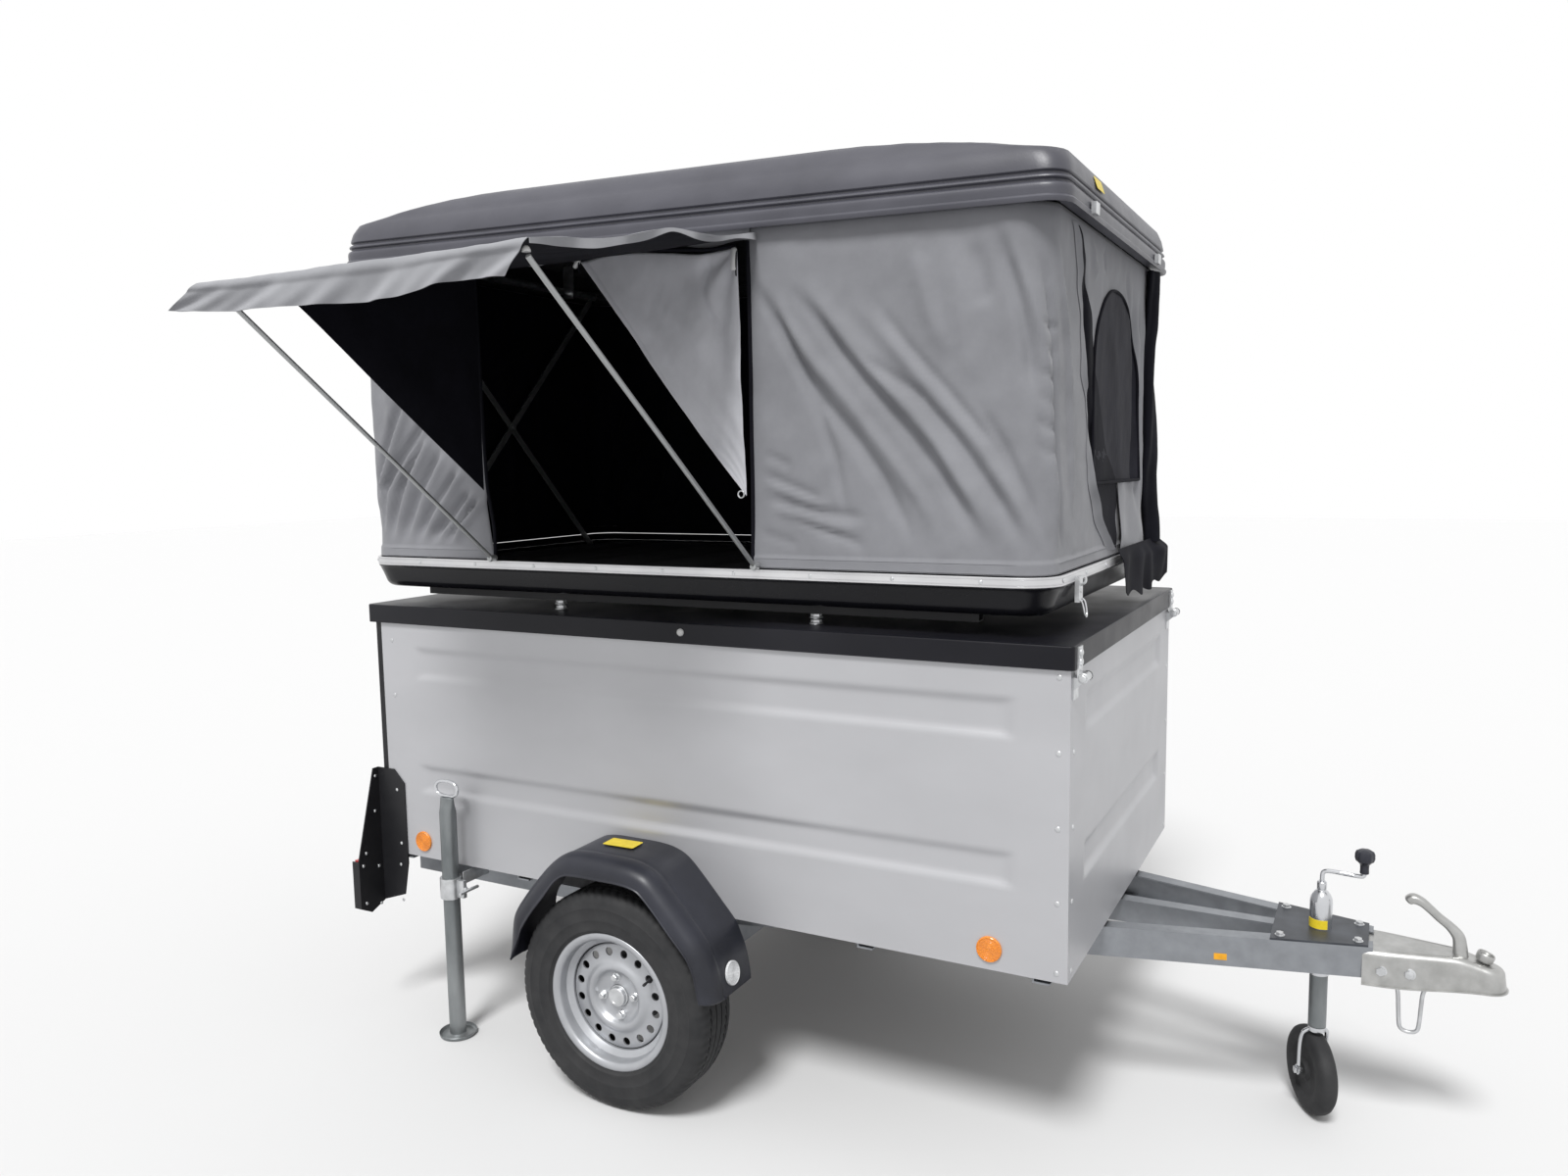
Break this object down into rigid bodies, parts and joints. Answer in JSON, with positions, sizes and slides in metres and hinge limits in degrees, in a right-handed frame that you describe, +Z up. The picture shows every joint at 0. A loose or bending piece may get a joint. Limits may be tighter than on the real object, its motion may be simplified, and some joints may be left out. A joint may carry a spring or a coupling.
{
  "type": "box trailer with pop-up roof tent",
  "caption": "Single-axle silver box trailer on jockey wheel and rear props, its hinged flat lid carrying an opened hard-shell tent with canvas walls and an awning.",
  "frame": {"origin": "centre of the tow ball in the coupling head", "axes": "+X forward along the drawbar, +Y left, +Z up"},
  "size_m": [3.0261, 2.21, 2.4138],
  "materials": {
    "silver_sheet": "satin silver paint on steel sheet",
    "black_steel": "satin black paint",
    "black_lid": "black coated sheet with a fine sheen",
    "galvanised_steel": "hot-dip galvanised, faint spangle",
    "zinc_hardware": "bright zinc plate",
    "cast_steel": "grey casting",
    "dark_plate": "dark steel plate",
    "plywood": "film-faced brown plywood",
    "black_plastic": "grained black plastic",
    "orange_lens": "ribbed orange reflector",
    "white_lens": "ribbed white reflector",
    "red_lens": "ribbed red lens",
    "tyre_rubber": "black tyre rubber",
    "rim_silver": "silver wheel paint",
    "black_shell": "smooth black moulded shell",
    "grey_shell": "grained dark grey moulded shell",
    "bare_aluminium": "bare extruded aluminium",
    "grey_canvas": "mid-grey plain-weave canvas",
    "black_cloth": "black lining cloth",
    "dark_fabric": "dark mattress cover",
    "black_net": "fine black insect net"
  },
  "bodies": {
    "chassis": {"floor_frame": "galvanised_steel", "floor_panel": "plywood", "side_wall_right": "silver_sheet", "side_wall_left": "silver_sheet", "front_wall": "silver_sheet", "rear_frame": "black_steel", "drawbar_beams": "galvanised_steel", "drawbar_beam_centre": "galvanised_steel", "drawbar_plate": "dark_plate", "coupling_head": "zinc_hardware", "coupling_lever": "zinc_hardware", "rest_loop": "zinc_hardware", "axle_tube": "galvanised_steel", "swing_arms": "cast_steel", "fenders": "black_plastic", "side_reflectors": "orange_lens", "fender_reflectors": "white_lens", "lamp_carriers": "black_steel", "rear_lamps": "red_lens", "prop_clamps": "zinc_hardware", "jockey_tube": "zinc_hardware", "jockey_crank": "zinc_hardware", "lid_hinge_brackets": "zinc_hardware"},
    "wheel_left": {"tyre_left": "tyre_rubber", "rim_left": "rim_silver", "hub_left": "cast_steel"},
    "wheel_right": {"tyre_right": "tyre_rubber", "rim_right": "rim_silver", "hub_right": "cast_steel"},
    "prop_left": {"prop_left": "zinc_hardware", "prop_ring_left": "zinc_hardware"},
    "prop_right": {"prop_right": "zinc_hardware", "prop_ring_right": "zinc_hardware"},
    "jockey_leg": {"jockey_leg": "zinc_hardware"},
    "jockey_fork": {"jockey_fork": "zinc_hardware"},
    "jockey_wheel": {"jockey_wheel": "tyre_rubber"},
    "tailgate": {"tailgate": "silver_sheet", "tailgate_latches": "zinc_hardware"},
    "lid": {"lid_panel": "black_lid", "lid_hinge_straps": "zinc_hardware", "tent_studs": "zinc_hardware", "tent_rails": "black_steel", "tent_tray": "black_shell", "base_strip": "bare_aluminium", "mattress": "dark_fabric", "tray_latches": "zinc_hardware", "canvas_right": "grey_canvas", "canvas_left": "grey_canvas", "canvas_ends": "grey_canvas", "window_nets": "black_net", "awning": "grey_canvas", "awning_rods": "bare_aluminium", "awning_gusset": "black_cloth", "door_flap": "grey_canvas", "lift_scissors": "bare_aluminium"},
    "roof_lift": {"lift_rail": "bare_aluminium"},
    "tent_roof": {"roof_shell": "grey_shell", "roof_brackets": "zinc_hardware", "roof_latches": "zinc_hardware"}
  },
  "joints": [
    {"name": "wheel_left_spin", "type": "hinge", "parent": "chassis", "child": "wheel_left", "pos_m": [-1.958, 0.7075, -0.142], "axis": [0, 1, 0], "continuous": true},
    {"name": "wheel_right_spin", "type": "hinge", "parent": "chassis", "child": "wheel_right", "pos_m": [-1.958, -0.7075, -0.142], "axis": [0, 1, 0], "continuous": true},
    {"name": "prop_left_slide", "type": "slide", "parent": "chassis", "child": "prop_left", "axis": [0, 0, 1], "range_m": [-0.15, 0.38]},
    {"name": "prop_right_slide", "type": "slide", "parent": "chassis", "child": "prop_right", "axis": [0, 0, 1], "range_m": [-0.15, 0.38]},
    {"name": "jockey_slide", "type": "slide", "parent": "chassis", "child": "jockey_leg", "axis": [0, 0, 1], "range_m": [-0.12, 0.05]},
    {"name": "jockey_swivel", "type": "hinge", "parent": "jockey_leg", "child": "jockey_fork", "pos_m": [-0.353, 0, -0.191], "axis": [0, 0, 1], "continuous": true},
    {"name": "jockey_roll", "type": "hinge", "parent": "jockey_fork", "child": "jockey_wheel", "pos_m": [-0.36239, 0.01766, -0.323], "axis": [0.8829, 0.4695, 0], "continuous": true},
    {"name": "tailgate_hinge", "type": "hinge", "parent": "chassis", "child": "tailgate", "pos_m": [-2.914, 0, 0.083], "axis": [0, -1, 0], "range_deg": [0, 90]},
    {"name": "lid_hinge", "type": "hinge", "parent": "chassis", "child": "lid", "pos_m": [-0.805, 0, 0.754], "axis": [0, 1, 0], "range_deg": [0, 45]},
    {"name": "roof_lift", "type": "slide", "parent": "lid", "child": "roof_lift", "axis": [0, 0, 1], "range_m": [-0.797, 0], "deforming": ["canvas_right", "canvas_left", "canvas_ends", "window_nets", "awning", "awning_rods", "awning_gusset", "door_flap", "lift_scissors"]},
    {"name": "roof_tilt", "type": "hinge", "parent": "roof_lift", "child": "tent_roof", "pos_m": [-0.953, 0, 1.79], "axis": [0, -1, 0], "range_deg": [0, 1.7]}
  ],
  "couplings": [
    {"joint": "roof_tilt", "follows": "roof_lift", "rad_per_m": -0.035038}
  ]
}
